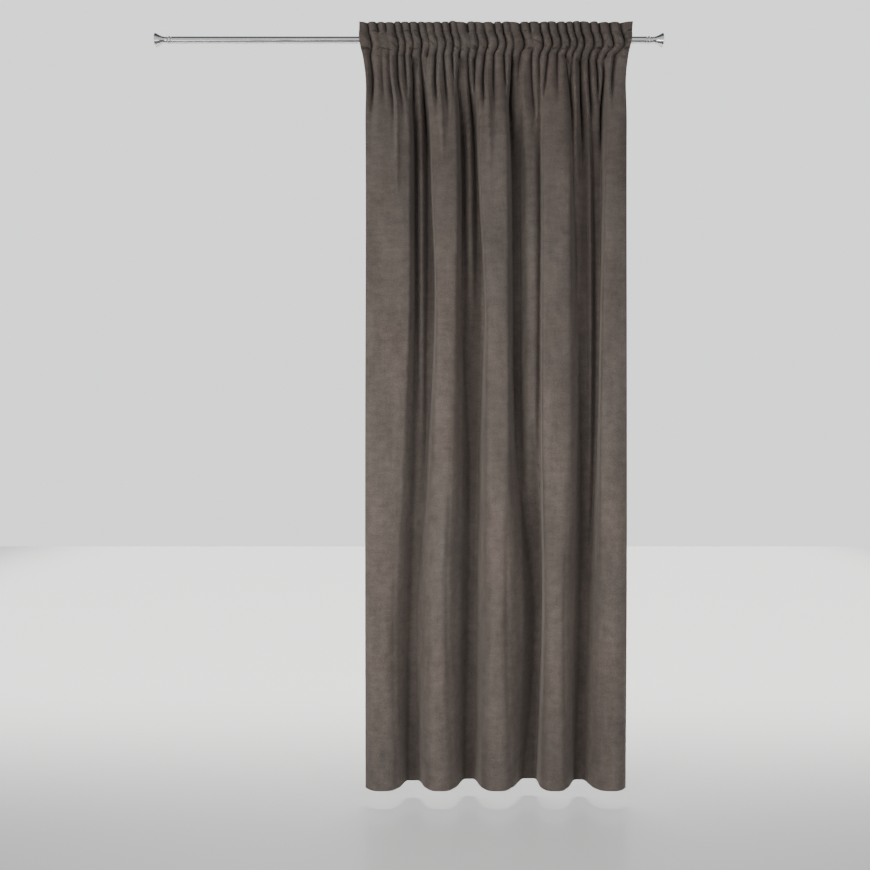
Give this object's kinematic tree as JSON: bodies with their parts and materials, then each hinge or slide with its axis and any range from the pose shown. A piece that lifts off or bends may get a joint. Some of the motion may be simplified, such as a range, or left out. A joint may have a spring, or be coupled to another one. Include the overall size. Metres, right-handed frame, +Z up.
{
  "type": "velvet curtain on a rod",
  "caption": "Full-length velvet curtain hung on a slim metal rod by a gathered pocket with a frill above, falling in deep uneven folds; the rod ends in flared trumpet finials.",
  "frame": {"origin": "on the rod's axis, at the middle of the gathered curtain's width", "axes": "+X along the rod towards the end that is on the right as seen from the room, +Y towards the wall, +Z up"},
  "size_m": [1.6672, 0.1299, 2.5001],
  "materials": {
    "velvet": "taupe cut-pile velvet",
    "steel": "polished"
  },
  "bodies": {
    "root": {"curtain_panel": "velvet", "rod_tube": "steel", "finial_right": "steel", "finial_left": "steel"}
  },
  "joints": []
}
